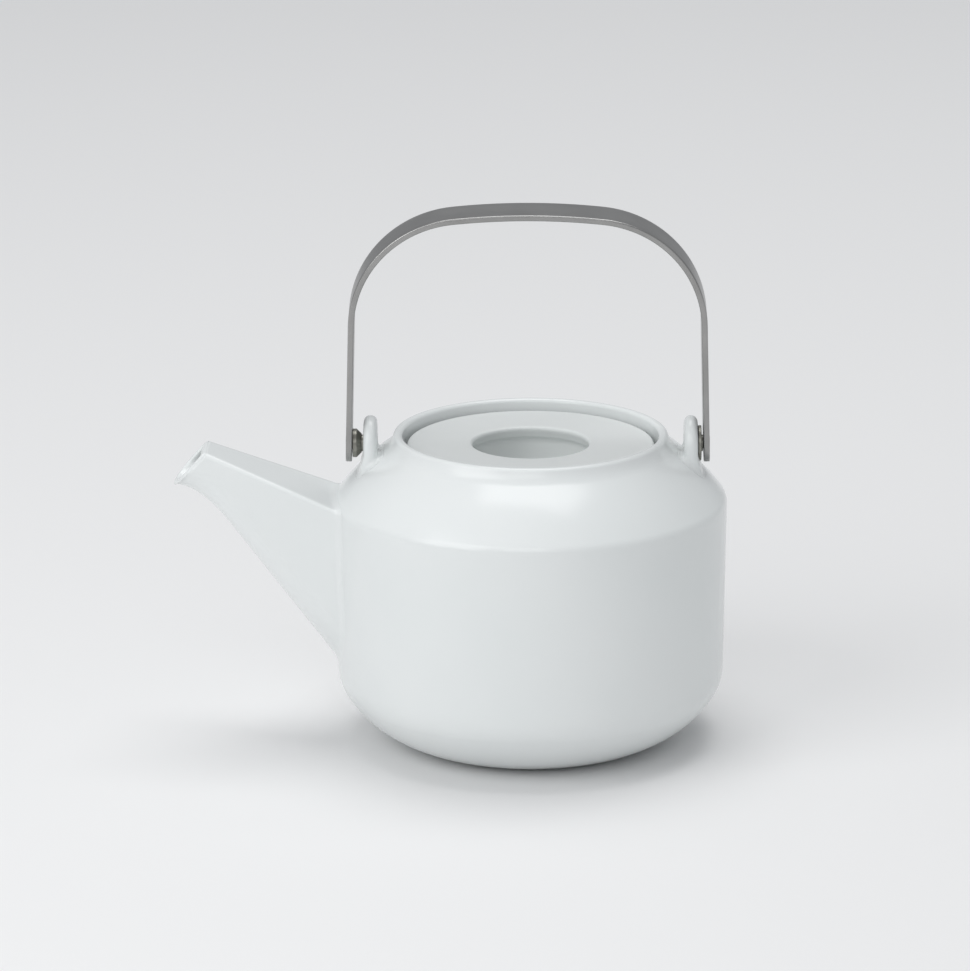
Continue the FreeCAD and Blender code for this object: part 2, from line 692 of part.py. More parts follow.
RING_OUTLINES = {
    "strainer_rim": (
        ("basket_radius", "skirt_low"),
        ("skirt_radius", "skirt_low"),
        ("skirt_radius", "ledge_height"),
        ("flange_radius", "ledge_height"),
        ("flange_radius", "flange_top"),
        ("basket_radius", "flange_top"),
    ),
    "strainer_side_mesh": (
        ("mesh_radius", "base_mesh_top"),
        ("basket_radius", "base_mesh_top"),
        ("basket_radius", "side_mesh_top"),
        ("mesh_radius", "side_mesh_top"),
    ),
    "strainer_base_mesh": (
        ("0", "base_ring_floor"),
        ("basket_radius", "base_ring_floor"),
        ("basket_radius", "base_mesh_top"),
        ("0", "base_mesh_top"),
    ),
    "strainer_base_ring": (
        ("base_ring_inner", "basket_bottom"),
        ("skirt_radius", "basket_bottom"),
        ("skirt_radius", "base_ring_top"),
        ("basket_radius", "base_ring_top"),
        ("basket_radius", "base_ring_floor"),
        ("base_ring_inner", "base_ring_floor"),
    ),
    "lid_plate": (
        ("hole_under_radius", "lid_under"),
        ("lid_rim_inner", "lid_under"),
        ("lid_rim_inner", "lid_low"),
        ("lid_radius", "lid_low"),
        ("lid_radius", "lid_edge_height", "lid_edge_round", 1),
        ("lid_edge_radius", "lid_height"),
        ("hole_lip_radius", "lid_height", "hole_arc", 1),
        ("hole_radius", "hole_height"),
    ),
    "lid_well": (
        ("0", "well_bottom"),
        ("well_flat", "well_bottom", "well_outer_arc", 1),
        ("well_outer", "well_bend"),
        ("well_outer", "lid_under"),
        ("well_radius", "lid_under"),
        ("well_radius", "well_bend", "well_round", -1),
        ("well_flat", "well_floor"),
        ("0", "well_floor"),
    ),
}


def ring(doc, label, corners):
    body = new_body(doc, label)
    sketch = new_sketch(body, label + "_outline", "XZ_Plane")
    outline(sketch, corners)
    revolve(body, sketch)
    return body


def seam_strip(doc):
    """Lapped strip that closes the mesh tube, on the far side."""
    body = new_body(doc, "strainer_seam_strip")
    sketch = new_sketch(body, "seam_outline", "YZ_Plane")
    outline(sketch, (
        ("basket_radius", "base_ring_top"),
        ("seam_radius", "base_ring_top"),
        ("seam_radius", "skirt_low"),
        ("basket_radius", "skirt_low"),
    ))
    strip = revolve(body, sketch)
    strip.Midplane = True
    strip.setExpression("Angle", expression("seam_angle"))
    return body


def check(doc, parts):
    """Stop before anything is written if an object has failed or a part's shape is bad."""
    for item in doc.Objects:
        if "Invalid" in item.State or "Error" in item.State:
            raise RuntimeError(f"{item.Label}: {item.State}")
    for part in parts:
        if part.Shape.isNull() or not part.Shape.isValid() or part.Shape.Volume <= 0:
            raise RuntimeError(f"{part.Label} has no valid shape")


def main():
    doc = FreeCAD.newDocument("Teapot")
    add_sheet(doc)
    pot_blank = solid_pot(doc, "pot_blank")
    parts = [
        pot_body(doc),
        spout(doc, pot_blank),
        lug(doc, "front_lug", -1, pot_blank),
        lug(doc, "rear_lug", 1, pot_blank),
        pivot_pin(doc, "front_pivot_pin", "front_leg_outer", "front_pin_shoulder", -1),
        pivot_pin(doc, "rear_pivot_pin", "rear_leg_outer", "rear_pin_shoulder", 1),
        washer(doc, "front_washer", "front_washer_low", "front_pin_shoulder", "front_washer_radius",
               "front_washer_bevel", -1),
        washer(doc, "rear_washer", "rear_washer_low", "rear_washer_high", "rear_washer_radius",
               "rear_washer_bevel", 1),
        handle_band(doc),
        seam_strip(doc),
    ]
    parts += [ring(doc, label, corners) for label, corners in RING_OUTLINES.items()]
    doc.recompute()
    check(doc, parts)
    os.makedirs("parts", exist_ok=True)
    for part in parts:
        part.Shape.exportStep(f"parts/{part.Label}.step")
        print(f"{part.Label}: {part.Shape.Volume:.0f} mm3, solids {len(part.Shape.Solids)}")


main()
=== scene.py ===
import math
import bmesh
import bpy
import numpy as np
from mathutils import Matrix, Vector


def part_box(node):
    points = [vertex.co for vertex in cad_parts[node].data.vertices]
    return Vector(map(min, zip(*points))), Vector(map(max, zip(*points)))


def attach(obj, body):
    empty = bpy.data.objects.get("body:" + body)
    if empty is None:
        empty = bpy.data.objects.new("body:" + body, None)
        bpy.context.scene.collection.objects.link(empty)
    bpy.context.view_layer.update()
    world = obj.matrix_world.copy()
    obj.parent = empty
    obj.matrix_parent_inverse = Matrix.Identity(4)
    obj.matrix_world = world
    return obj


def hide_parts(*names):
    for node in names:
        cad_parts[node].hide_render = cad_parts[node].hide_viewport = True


# Porcelain teapot with a flat-topped spout, a steel bail handle, a flush lid and a mesh infuser.
# Outlines are worked out in millimetres in the frame's axes and written to the meshes in metres.

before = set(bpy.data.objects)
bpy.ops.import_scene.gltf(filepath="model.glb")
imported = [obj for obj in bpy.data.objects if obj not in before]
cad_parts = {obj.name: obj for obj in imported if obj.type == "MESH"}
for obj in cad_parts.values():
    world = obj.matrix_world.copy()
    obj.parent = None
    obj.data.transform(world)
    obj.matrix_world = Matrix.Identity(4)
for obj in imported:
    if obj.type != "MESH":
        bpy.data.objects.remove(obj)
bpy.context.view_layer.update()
MM = 0.001


def span(node):
    """Lowest and highest corner of a CAD node, in millimetres."""
    low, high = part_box(node)
    return np.array(low) / MM, np.array(high) / MM


# ---------------------------------------------------------------- sizes

_, POT_HIGH = span("pot_body")
LID_LOW, LID_HIGH = span("lid_plate")
WELL_LOW, WELL_HIGH = span("lid_well")
RIM_LOW, RIM_HIGH = span("strainer_rim")
MESH_LOW, MESH_HIGH = span("strainer_side_mesh")
BASE_LOW, BASE_HIGH = span("strainer_base_ring")
LUG_LOW, LUG_HIGH = span("rear_lug")
BAND_LOW, BAND_HIGH = span("handle_band")
PIN_LOW, PIN_HIGH = span("rear_pivot_pin")

WALL_RADIUS = POT_HIGH[1]
RIM_Z = POT_HIGH[2]
PIVOT_Z = (PIN_LOW[2] + PIN_HIGH[2]) / 2
LID_RADIUS = LID_HIGH[0]
LID_Z = LID_HIGH[2]
MOUTH_RADIUS = LID_RADIUS + 1.4
LEDGE_Z = RIM_HIGH[2] - 0.8

WALL_DRAFT = 0.8
WALL_LOW_Z = 22.4
HEEL_ARC = 12.9
HEEL_ANGLE = math.radians(32.1)
FOOT_SLOPE = math.radians(8.4)
SHOULDER_Z = 75.0
SHOULDER_SLOPE = math.radians(45.0)
SHOULDER_ARC = 75.0
SHOULDER_ROUND = 4.5
RIM_RADIUS = MOUTH_RADIUS + 2.5
RIM_ROUND = 1.2
COLLAR = (RIM_RADIUS + 0.25, RIM_Z - 1.4)
FLARE = (COLLAR[0] + 3.25, COLLAR[1] - 3.8)
FLARE_ARC = 8.0
WALL = 4.0
FOOT_RISE = 1.6        # the underside stands this far above the foot ring
FOOT_RING = 4.5
POUR_HOLE_HALF = 7.5   # half width, and heights of the centres of the hole's round ends
POUR_HOLE_LOW = 36.0
POUR_HOLE_HIGH = 60.0
PIN_HOLE = 2.6
HOLE_RADIUS = 16.75
HOLE_LIP = 1.0
HOLE_DEPTH = 3.3
HOLE_RELIEF = 1.8
WELL_WALL = 3.0
LID_RIM_WIDTH = 3.6

LUG_HALF_THICKNESS = (LUG_HIGH[0] - LUG_LOW[0]) / 2
LUG_CENTRE = (LUG_HIGH[0] + LUG_LOW[0]) / 2
LUG_HALF_WIDTH = LUG_HIGH[1]
LUG_ROUND = LUG_HALF_THICKNESS * 0.95
LUG_FOOT_DRAFT = 0.9

BAND_THICKNESS = 1.8
BAND_HALF_WIDTH = 6.0
BAND_TOP = 74.05
BAND_BEND = 34.7
BAND_CROWN = 207.0
BAND_END = 5.2
BAND_END_ROUND = 5.0
BAND_SPLAY = math.radians(1.6)
BAND_LEAN = math.radians(6.3)
BAND_SHIFT = (BAND_HIGH[0] + BAND_LOW[0]) / 2
BAND_HALF = (BAND_HIGH[0] - BAND_LOW[0]) / 2 - BAND_END * math.tan(BAND_SPLAY)
LEG_CLEARANCE = 0.15


# ---------------------------------------------------------------- outlines

def meet(point_a, angle_a, point_b, angle_b):
    """Where two lines cross, each given by a point and a direction."""
    directions = np.array([
        [math.cos(angle_a), -math.cos(angle_b)],
        [math.sin(angle_a), -math.sin(angle_b)],
    ])
    along = np.linalg.solve(directions, np.array(point_b) - np.array(point_a))
    return np.array(point_a) + along[0] * directions[:, 0]


def arc_directions(start, end, radius):
    """Directions of an arc at its ends; a negative radius bends to the right."""
    way = np.array(end) - np.array(start)
    chord = math.atan2(way[1], way[0])
    half = math.asin(np.linalg.norm(way) / 2 / radius)
    return chord - half, chord + half


def rounded(corners, closed=False, step=5.0):
    """Polyline through corners (x, y, radius), each an arc of its radius; step is degrees per chord."""
    points = []
    count = len(corners)
    for number, (x, y, radius) in enumerate(corners):
        here = np.array([x, y])
        if radius == 0 or (not closed and number in (0, count - 1)):
            points.append(here)
            continue
        before = np.array(corners[number - 1][:2]) - here
        after = np.array(corners[(number + 1) % count][:2]) - here
        before /= np.linalg.norm(before)
        after /= np.linalg.norm(after)
        half = math.acos(max(-1.0, min(1.0, float(before @ after)))) / 2
        centre = here + (before + after) / np.linalg.norm(before + after) * radius / math.sin(half)
        first = here + before * radius / math.tan(half) - centre
        last = here + after * radius / math.tan(half) - centre
        turn = math.atan2(first[0] * last[1] - first[1] * last[0], float(first @ last))
        steps = max(2, int(abs(math.degrees(turn)) / step) + 1)
        for angle in np.linspace(0, turn, steps + 1):
            c, s = math.cos(angle), math.sin(angle)
            points.append(centre + np.array([c * first[0] - s * first[1], s * first[0] + c * first[1]]))
    return np.array(points)


def divided(points, length):
    """The same polyline with no piece longer than length."""
    out = [points[0]]
    for start, end in zip(points[:-1], points[1:]):
        pieces = max(1, int(math.ceil(np.linalg.norm(end - start) / length)))
        out += [start + (end - start) * k / pieces for k in range(1, pieces + 1)]
    return np.array(out)


# ---------------------------------------------------------------- mesh making

def new_object(name, vertices, faces, material, uvs=None):
    """Smooth-shaded mesh object from millimetre points."""
    mesh = bpy.data.meshes.new(name)
    mesh.from_pydata([tuple(v) for v in np.asarray(vertices) * MM], [], [tuple(f) for f in faces])
    mesh.validate()
    if uvs is not None:
        layer = mesh.uv_layers.new(name="UVMap")
        index = np.empty(len(mesh.loops), int)
        mesh.loops.foreach_get("vertex_index", index)
        layer.data.foreach_set("uv", (np.asarray(uvs) * MM)[index].ravel())
    mesh.polygons.foreach_set("use_smooth", [True] * len(mesh.polygons))
    mesh.materials.append(material)
    mesh.update()
    thing = bpy.data.objects.new(name, mesh)
    bpy.context.scene.collection.objects.link(thing)
    return thing


def grid_faces(rows, columns, wrap_rows=False, wrap_columns=True, offset=0):
    """Quads between neighbouring rows of a grid of vertices."""
    faces = []
    last_row = rows if wrap_rows else rows - 1
    last_column = columns if wrap_columns else columns - 1
    for i in range(last_row):
        a = offset + i * columns
        b = offset + ((i + 1) % rows) * columns
        for j in range(last_column):
            k = (j + 1) % columns
            faces.append((a + j, b + j, b + k, a + k))
    return faces


def lathe(name, profile, material, segments=192, axis="Z", ring=False):
    """Surface of revolution from (radius, height) points; an open profile starts and ends on the axis."""
    profile = np.asarray(profile, float)
    angles = np.arange(segments) * 2 * math.pi / segments
    circle = np.stack([np.cos(angles), np.sin(angles)], 1)
    body = profile if ring else profile[1:-1]
    points = np.zeros((len(body), segments, 3))
    points[:, :, :2] = body[:, None, :1] * circle[None]
    points[:, :, 2] = body[:, None, 1]
    vertices = points.reshape(-1, 3)
    faces = grid_faces(len(body), segments, wrap_rows=ring)
    if not ring:
        start = len(vertices)
        vertices = np.vstack([vertices, [0, 0, profile[0][1]], [0, 0, profile[-1][1]]])
        last = (len(body) - 1) * segments
        for j in range(segments):
            k = (j + 1) % segments
            faces.append((start, j, k))
            faces.append((start + 1, last + k, last + j))
    if axis == "X":
        vertices = vertices[:, [2, 0, 1]]
    return new_object(name, vertices, faces, material)


def place(thing, matrix):
    """Bake a placement in millimetres into the mesh."""
    move = matrix.copy()
    move.translation = matrix.translation * MM
    thing.data.transform(move)
    return thing


def recalc(thing, merge=None):
    """Turn the faces outwards, first merging vertices nearer than merge millimetres if it is given."""
    mesh = bmesh.new()
    mesh.from_mesh(thing.data)
    if merge is not None:
        bmesh.ops.remove_doubles(mesh, verts=mesh.verts, dist=merge * MM)
    bmesh.ops.recalc_face_normals(mesh, faces=mesh.faces)
    mesh.to_mesh(thing.data)
    mesh.free()


def make_closed(thing, merge=0.001):
    """Merge doubled vertices and turn the faces outwards."""
    recalc(thing, merge)
    return thing


# ---------------------------------------------------------------- pot outline and its use as a surface

def heel_points():
    """Ends of the two arcs of the heel: foot, arc to arc, and arc to wall."""
    low = WALL_RADIUS - WALL_DRAFT
    inward = HEEL_ARC * (1 - math.cos(HEEL_ANGLE))
    drop = HEEL_ARC * math.sin(HEEL_ANGLE)
    joint = np.array([low - inward, WALL_LOW_Z - drop])
    bottom_arc = joint[1] / (math.cos(FOOT_SLOPE) - math.sin(HEEL_ANGLE))
    foot = np.array([joint[0] - bottom_arc * (math.cos(HEEL_ANGLE) - math.sin(FOOT_SLOPE)), 0.0])
    return foot, joint, np.array([low, WALL_LOW_Z]), bottom_arc


def outer_corners():
    """Outside of the pot from the foot ring's edge to the rim."""
    foot, joint, wall_low, bottom_arc = heel_points()
    tangent = math.pi / 2 - HEEL_ANGLE
    under = meet(foot, FOOT_SLOPE, joint, tangent)
    side = meet(joint, tangent, wall_low, math.pi / 2)
    steep, shallow = arc_directions((WALL_RADIUS, SHOULDER_Z), FLARE, SHOULDER_ARC)
    _, collar_slope = arc_directions(FLARE, COLLAR, -FLARE_ARC)
    shoulder = meet((WALL_RADIUS, SHOULDER_Z), steep, FLARE, shallow)
    collar = meet(FLARE, shallow, COLLAR, collar_slope)
    return [
        (foot[0], 0.0, 0.0),
        (under[0], under[1], bottom_arc * 0.999),
        (side[0], side[1], HEEL_ARC),
        (WALL_RADIUS, SHOULDER_Z, SHOULDER_ROUND),
        (shoulder[0], shoulder[1], SHOULDER_ARC * 0.82),
        (collar[0], collar[1], FLARE_ARC * 0.9),
        (RIM_RADIUS, RIM_Z, RIM_ROUND),
        (MOUTH_RADIUS, RIM_Z, RIM_ROUND),
    ]


def inner_corners():
    """Inside of the pot from the mouth to the middle of the floor."""
    foot, joint, wall_low, bottom_arc = heel_points()
    inward = WALL
    joint_in = joint + np.array([-math.cos(HEEL_ANGLE), math.sin(HEEL_ANGLE)]) * inward
    tangent = math.pi / 2 - HEEL_ANGLE
    floor_z = FOOT_RISE + WALL
    side = meet(joint_in, tangent, wall_low - np.array([inward, 0.0]), math.pi / 2)
    under = meet(joint_in, tangent, (0.0, floor_z), 0.0)
    cone_z = SHOULDER_Z - WALL * (1 - math.sin(SHOULDER_SLOPE)) / math.cos(SHOULDER_SLOPE)
    ledge_low = LEDGE_Z - WALL
    ledge_radius = MOUTH_RADIUS - 4.4
    cone_radius = WALL_RADIUS - WALL - (ledge_low - cone_z) / math.tan(SHOULDER_SLOPE)
    return [
        (MOUTH_RADIUS, LEDGE_Z, 0.7),
        (ledge_radius, LEDGE_Z, 0.9),
        (ledge_radius, ledge_low, 1.2),
        (cone_radius, ledge_low, 4.0),
        (WALL_RADIUS - WALL, cone_z, 5.0),
        (side[0], side[1], HEEL_ARC - WALL),
        (under[0], under[1], 18.0),
        (0.0, floor_z, 0.0),
    ]


OUTER = rounded(outer_corners(), step=4.0)[:-1]


def nearest_on_pot(points):
    """Nearest points of the pot's outside, signed distance (outside positive) and outward normals."""
    points = np.asarray(points, float)
    radius = np.hypot(points[..., 0], points[..., 1])
    flat = np.stack([radius.ravel(), points[..., 2].ravel()], 1)
    start, end = OUTER[:-1], OUTER[1:]
    way = end - start
    length2 = (way ** 2).sum(1)
    rel = flat[:, None] - start[None]
    along = np.clip((rel * way).sum(2) / length2, 0, 1)
    foot = start + along[..., None] * way
    gap = flat[:, None] - foot
    distance = np.linalg.norm(gap, axis=2)
    best = distance.argmin(1)
    pick = np.arange(len(flat))
    foot = foot[pick, best]
    way = way[best]
    side = way[:, 0] * (flat[:, 1] - foot[:, 1]) - way[:, 1] * (flat[:, 0] - foot[:, 0])
    signed = np.where(side < 0, 1, -1) * distance[pick, best]
    normal = np.stack([way[:, 1], -way[:, 0]], 1) / np.linalg.norm(way, axis=1)[:, None]
    turn = points.reshape(-1, 3)[:, :2] / np.maximum(radius.ravel(), 1e-6)[:, None]
    on_pot = np.concatenate([turn * foot[:, :1], foot[:, 1:]], 1)
    outward = np.concatenate([turn * normal[:, :1], normal[:, 1:]], 1)
    shape = points.shape
    return on_pot.reshape(shape), signed.reshape(shape[:-1]), outward.reshape(shape)


def foot_fillet(corner, arrival, outward, reach_up, reach_out, rows=9):
    """Rows of points that turn each column smoothly onto the pot at its corner point."""
    surface, _, normal = nearest_on_pot(corner)
    slide = outward - (outward * normal).sum(1)[:, None] * normal
    slide /= np.linalg.norm(slide, axis=1)[:, None]
    start = corner - arrival * reach_up[:, None]
    end, _, _ = nearest_on_pot(corner + slide * reach_out[:, None])
    out = []
    for t in np.linspace(0, 1, rows):
        out.append((1 - t) ** 2 * start + 2 * t * (1 - t) * corner + t ** 2 * end)
    return np.array(out)


# ---------------------------------------------------------------- porcelain pieces

def pot_shell(material, foot_material):
    """Body of the pot: outside, rim, ledge, inside and foot ring, with the pour hole cut through."""
    foot, _, _, _ = heel_points()
    foot_inner = foot[0] - FOOT_RING
    under = rounded([
        (0, FOOT_RISE, 0), (foot_inner, FOOT_RISE, 0.8), (foot_inner + 0.5, 0, 0.4), (foot[0], 0, 0),
    ])
    corners = outer_corners()[1:] + inner_corners()
    shell = rounded([(foot[0], 0, 0)] + corners, step=4.0)
    profile = np.vstack([under[:-1], shell])
    profile = divided(profile, 3.0)
    pot = lathe("pot_shell", profile, material, segments=256)
    make_closed(pot)
    cut_pour_hole(pot)
    pot.data.materials.append(foot_material)
    for face in pot.data.polygons:
        radius = math.hypot(face.center.x, face.center.y) / MM
        if face.center.z / MM < 0.12 and foot_inner < radius < foot[0] + 0.6:
            face.material_index = 1
    return pot


def cut_pour_hole(pot):
    """Oblong hole behind the spout."""
    half, low, high = POUR_HOLE_HALF, POUR_HOLE_LOW, POUR_HOLE_HIGH
    outline = []
    for centre, first in ((high, 0.0), (low, math.pi)):
        for angle in np.linspace(first, first + math.pi, 17):
            outline.append((half * math.cos(angle), centre + half * math.sin(angle)))
    count = len(outline)
    ends = [[(x, y, z) for y, z in outline] for x in (-WALL_RADIUS - 6, -WALL_RADIUS + 14)]
    faces = grid_faces(2, count) + [tuple(range(count)), tuple(range(2 * count - 1, count - 1, -1))]
    cutter = make_closed(new_object("cutter", np.array(ends).reshape(-1, 3), faces, pot.data.materials[0]))
    boolean = pot.modifiers.new("pour_hole", "BOOLEAN")
    boolean.object = cutter
    boolean.operation = "DIFFERENCE"
    boolean.solver = "EXACT"
    apply_modifiers(pot)
    bpy.data.objects.remove(cutter)


def apply_modifiers(thing):
    """Replace the mesh by its evaluated result."""
    graph = bpy.context.evaluated_depsgraph_get()
    result = bpy.data.meshes.new_from_object(thing.evaluated_get(graph))
    thing.modifiers.clear()
    thing.data = result


SPOUT_TIP = np.array([-97.5, 90.5])       # end of the flat top
SPOUT_LIP = np.array([-107.4, 79.3])      # pouring lip
SPOUT_ROOT = np.array([-54.0, 73.0])      # flat top inside the wall
SPOUT_ROOT_LOW = np.array([-54.0, 19.4])
SPOUT_NECK_LOW = np.array([-89.2, 65.6])  # the underside is straight up to here
SPOUT_NECK_PULL = 7.0                     # how far the curve keeps the underside's direction
SPOUT_LIP_PULL = np.array([8.0, -0.6])    # and from where it comes into the lip
SPOUT_TIP_HALF = 7.7
SPOUT_ROOT_HALF = 16.5
NECK_SHARE = 0.72


def bezier(points, t):
    a, b, c, d = (np.asarray(p) for p in points)
    return (1 - t) ** 3 * a + 3 * t * (1 - t) ** 2 * b + 3 * t * t * (1 - t) * c + t ** 3 * d


def spout_edges(share):
    """Top and underside of the spout at a share of the way from root to lip, in the XZ plane."""
    top = SPOUT_ROOT + (SPOUT_TIP - SPOUT_ROOT) * share
    if share <= NECK_SHARE:
        return top, SPOUT_ROOT_LOW + (SPOUT_NECK_LOW - SPOUT_ROOT_LOW) * share / NECK_SHARE
    straight = (SPOUT_NECK_LOW - SPOUT_ROOT_LOW) / np.linalg.norm(SPOUT_NECK_LOW - SPOUT_ROOT_LOW)
    neck_handle = SPOUT_NECK_LOW + straight * SPOUT_NECK_PULL
    handles = (SPOUT_NECK_LOW, neck_handle, SPOUT_LIP + SPOUT_LIP_PULL, SPOUT_LIP)
    return top, bezier(handles, (share - NECK_SHARE) / (1 - NECK_SHARE))


def spout_loop(share, inset, count_side=14, count_round=28):
    """Loop of 3-D points around the spout, and the outward direction at each, in its tilted plane."""
    top, low = spout_edges(share)
    half = SPOUT_ROOT_HALF + (SPOUT_TIP_HALF - SPOUT_ROOT_HALF) * share - inset
    depth = np.linalg.norm(low - top)
    down = (low - top) / depth
    edge = max(0.4, 1.3 - inset * 0.3)
    centre = depth - half - inset
    flat = list(np.linspace(0, half - edge, 9))
    loop = [(y, inset, 0.0, -1.0) for y in flat]
    for angle in np.linspace(0, math.pi / 2, 6)[1:]:
        loop.append((half - edge + edge * math.sin(angle), inset + edge - edge * math.cos(angle),
                     math.sin(angle), -math.cos(angle)))
    for share_down in np.linspace(0, 1, count_side)[1:]:
        loop.append((half, inset + edge + (centre - inset - edge) * share_down, 1.0, 0.0))
    for angle in np.linspace(0, math.pi / 2, count_round // 2)[1:]:
        across, down_share = math.cos(angle), math.sin(angle)
        loop.append((half * across, centre + half * down_share, across, down_share))
    mirrored = [(-y, d, -ny, nd) for y, d, ny, nd in loop[1:-1]][::-1]
    loop = np.array(loop + mirrored)
    points = np.zeros((len(loop), 3))
    outward = np.zeros((len(loop), 3))
    points[:, 0] = top[0] + down[0] * loop[:, 1]
    points[:, 1] = loop[:, 0]
    points[:, 2] = top[1] + down[1] * loop[:, 1]
    outward[:, 0] = down[0] * loop[:, 3]
    outward[:, 1] = loop[:, 2]
    outward[:, 2] = down[1] * loop[:, 3]
    return points, outward


def spout_shell(material):
    """Hollow spout: inside, rounded lip and outside, flowing onto the pot with a soft fillet."""
    wall, lip_wall = 2.8, 2.3
    shares = np.linspace(0.0, 1.0, 150)
    grid = np.array([spout_loop(s, 0.0)[0] for s in shares])[::-1]
    outward = np.array([spout_loop(s, 0.0)[1] for s in shares])[::-1]
    _, gap, _ = nearest_on_pot(grid)
    columns = grid.shape[1]
    rows = 64
    outer = np.zeros((rows, columns, 3))
    corner = np.zeros((columns, 3))
    arrival = np.zeros((columns, 3))
    corner_out = np.zeros((columns, 3))
    reach = np.full(columns, 2.4)
    for j in range(columns):
        inside = int(np.argmax(gap[:, j] < 0))
        a, b = gap[inside - 1, j], gap[inside, j]
        mix = a / (a - b)
        corner[j] = grid[inside - 1, j] * (1 - mix) + grid[inside, j] * mix
        corner_out[j] = outward[inside, j]
        line = np.vstack([grid[:inside, j], corner[j]])
        length = np.concatenate([[0], np.cumsum(np.linalg.norm(np.diff(line, axis=0), axis=1))])
        arrival[j] = (line[-1] - line[-2]) / np.linalg.norm(line[-1] - line[-2])
        where = np.linspace(0, 1, rows) * (length[-1] - reach[j])
        for axis in range(3):
            outer[:, j, axis] = np.interp(where, length, line[:, axis])
    skirt = foot_fillet(corner, arrival, corner_out, reach, np.full(columns, 2.4))[1:]
    inner_shares = np.linspace(0.12, 1.0, 40)
    insets = lip_wall + (wall - lip_wall) * np.clip((1.0 - inner_shares) / 0.25, 0, 1)
    inner = np.array([spout_loop(s, i)[0] for s, i in zip(inner_shares, insets)])
    lip = rounded_lip(spout_loop(1.0, lip_wall)[0], spout_loop(1.0, 0.0)[0])
    rows_all = np.vstack([inner[:-1], lip, outer[1:], skirt])
    return new_object("spout_shell", rows_all.reshape(-1, 3), grid_faces(len(rows_all), columns), material)


def rounded_lip(inside, outside, steps=7):
    """Half-round edge between the inner and outer loop of the mouth, bulging out of the spout."""
    top, low = spout_edges(1.0)
    down = (low - top) / np.linalg.norm(low - top)
    forward = np.array([down[1], 0.0, -down[0]])
    middle = (inside + outside) / 2
    half = (outside - inside) / 2
    bulge = np.linalg.norm(half, axis=1)[:, None] * 0.55
    rows = []
    for angle in np.linspace(-math.pi / 2, math.pi / 2, steps):
        rows.append(middle + half * math.sin(angle) + forward * bulge * (math.cos(angle) - 1.0))
    return np.array(rows)


def lug_loop(draft=0.0):
    """Horizontal section of a lug: points (x, y) about its middle and their outward directions."""
    half, width, corner = LUG_HALF_THICKNESS, LUG_HALF_WIDTH, LUG_ROUND
    flat = list(np.linspace(0, width - corner, 12))
    face = [(half + draft, y, 1.0, 0.0) for y in flat]
    for angle in np.linspace(0, math.pi / 2, 7)[1:]:
        face.append((half - corner + corner * math.cos(angle) + draft * math.cos(angle),
                     width - corner + corner * math.sin(angle), math.cos(angle), math.sin(angle)))
    back = [(-half, y, -1.0, 0.0) for y in flat]
    for angle in np.linspace(0, math.pi / 2, 7)[1:]:
        back.append((-half + corner - corner * math.cos(angle), width - corner + corner * math.sin(angle),
                     -math.cos(angle), math.sin(angle)))
    quarter = face + back[::-1][1:]
    other = [(x, -y, nx, -ny) for x, y, nx, ny in quarter[1:-1]][::-1]
    return np.array(quarter + other), len(quarter)


def lug(name, side, material):
    """Upright tab: round top turned about the pivot, and a foot that flows onto the shoulder."""
    loop, half_count = lug_loop()
    arc = loop[:half_count]
    turns = np.linspace(0, math.pi, 49)
    top = np.zeros((len(turns), half_count, 3))
    for i, angle in enumerate(turns):
        top[i, :, 0] = LUG_CENTRE + arc[:, 0]
        top[i, :, 1] = arc[:, 1] * math.cos(angle)
        top[i, :, 2] = PIVOT_Z + arc[:, 1] * math.sin(angle)
    shoulder = OUTER[np.argmax(OUTER[:, 0]):]
    order = np.argsort(shoulder[:, 0])
    radius, height = shoulder[order, 0], shoulder[order, 1]
    foot_loop, _ = lug_loop(LUG_FOOT_DRAFT)
    base_xy = np.stack([LUG_CENTRE + foot_loop[:, 0], foot_loop[:, 1]], 1)
    base_z = np.interp(np.hypot(base_xy[:, 0], base_xy[:, 1]), radius, height)
    corner = np.column_stack([base_xy, base_z])
    start_xy = np.stack([LUG_CENTRE + loop[:, 0], loop[:, 1]], 1)
    outward = np.column_stack([foot_loop[:, 2:], np.zeros(len(loop))])
    inner_side = np.clip(-foot_loop[:, 2], 0, 1)
    reach_up = 2.0 + 0.6 * inner_side
    reach_out = 2.0 + 0.4 * inner_side
    rows = []
    for share in np.linspace(0, 1, 12):
        z = PIVOT_Z + (base_z + reach_up - PIVOT_Z) * share
        spread = np.clip((share - 0.3) / 0.7, 0, 1) ** 1.5
        xy = start_xy + (base_xy - start_xy) * spread
        rows.append(np.column_stack([xy, z]))
    down = np.zeros_like(corner)
    down[:, 2] = -1.0
    skirt = foot_fillet(corner, down, outward, reach_up, reach_out)[1:]
    lower = np.vstack([np.array(rows), skirt])
    root = lower[-1].mean(0) - np.array([0.0, 0.0, 3.0])
    vertices = np.vstack([top.reshape(-1, 3), lower.reshape(-1, 3), root])
    faces = grid_faces(len(turns), half_count, wrap_columns=False)
    faces += grid_faces(len(lower), len(loop), offset=len(turns) * half_count)
    last = len(vertices) - 1
    edge = last - len(loop)
    faces += [(edge + j, last, edge + (j + 1) % len(loop)) for j in range(len(loop))]
    if side < 0:
        vertices = vertices * np.array([-1, 1, 1])
    thing = make_closed(new_object(name, vertices, faces, material), merge=0.004)
    drill_lug(thing, side)
    return thing


def drill_lug(thing, side):
    """Hole for the pivot pin."""
    outline = [(0, 0), (PIN_HOLE, 0), (PIN_HOLE, 12), (0, 12)]
    cutter = lathe("drill", outline, thing.data.materials[0], 48, axis="X")
    place(cutter, Matrix.Translation((side * LUG_CENTRE - 6, 0, PIVOT_Z)))
    make_closed(cutter)
    boolean = thing.modifiers.new("drill", "BOOLEAN")
    boolean.object = cutter
    boolean.operation = "DIFFERENCE"
    boolean.solver = "EXACT"
    apply_modifiers(thing)
    bpy.data.objects.remove(cutter)


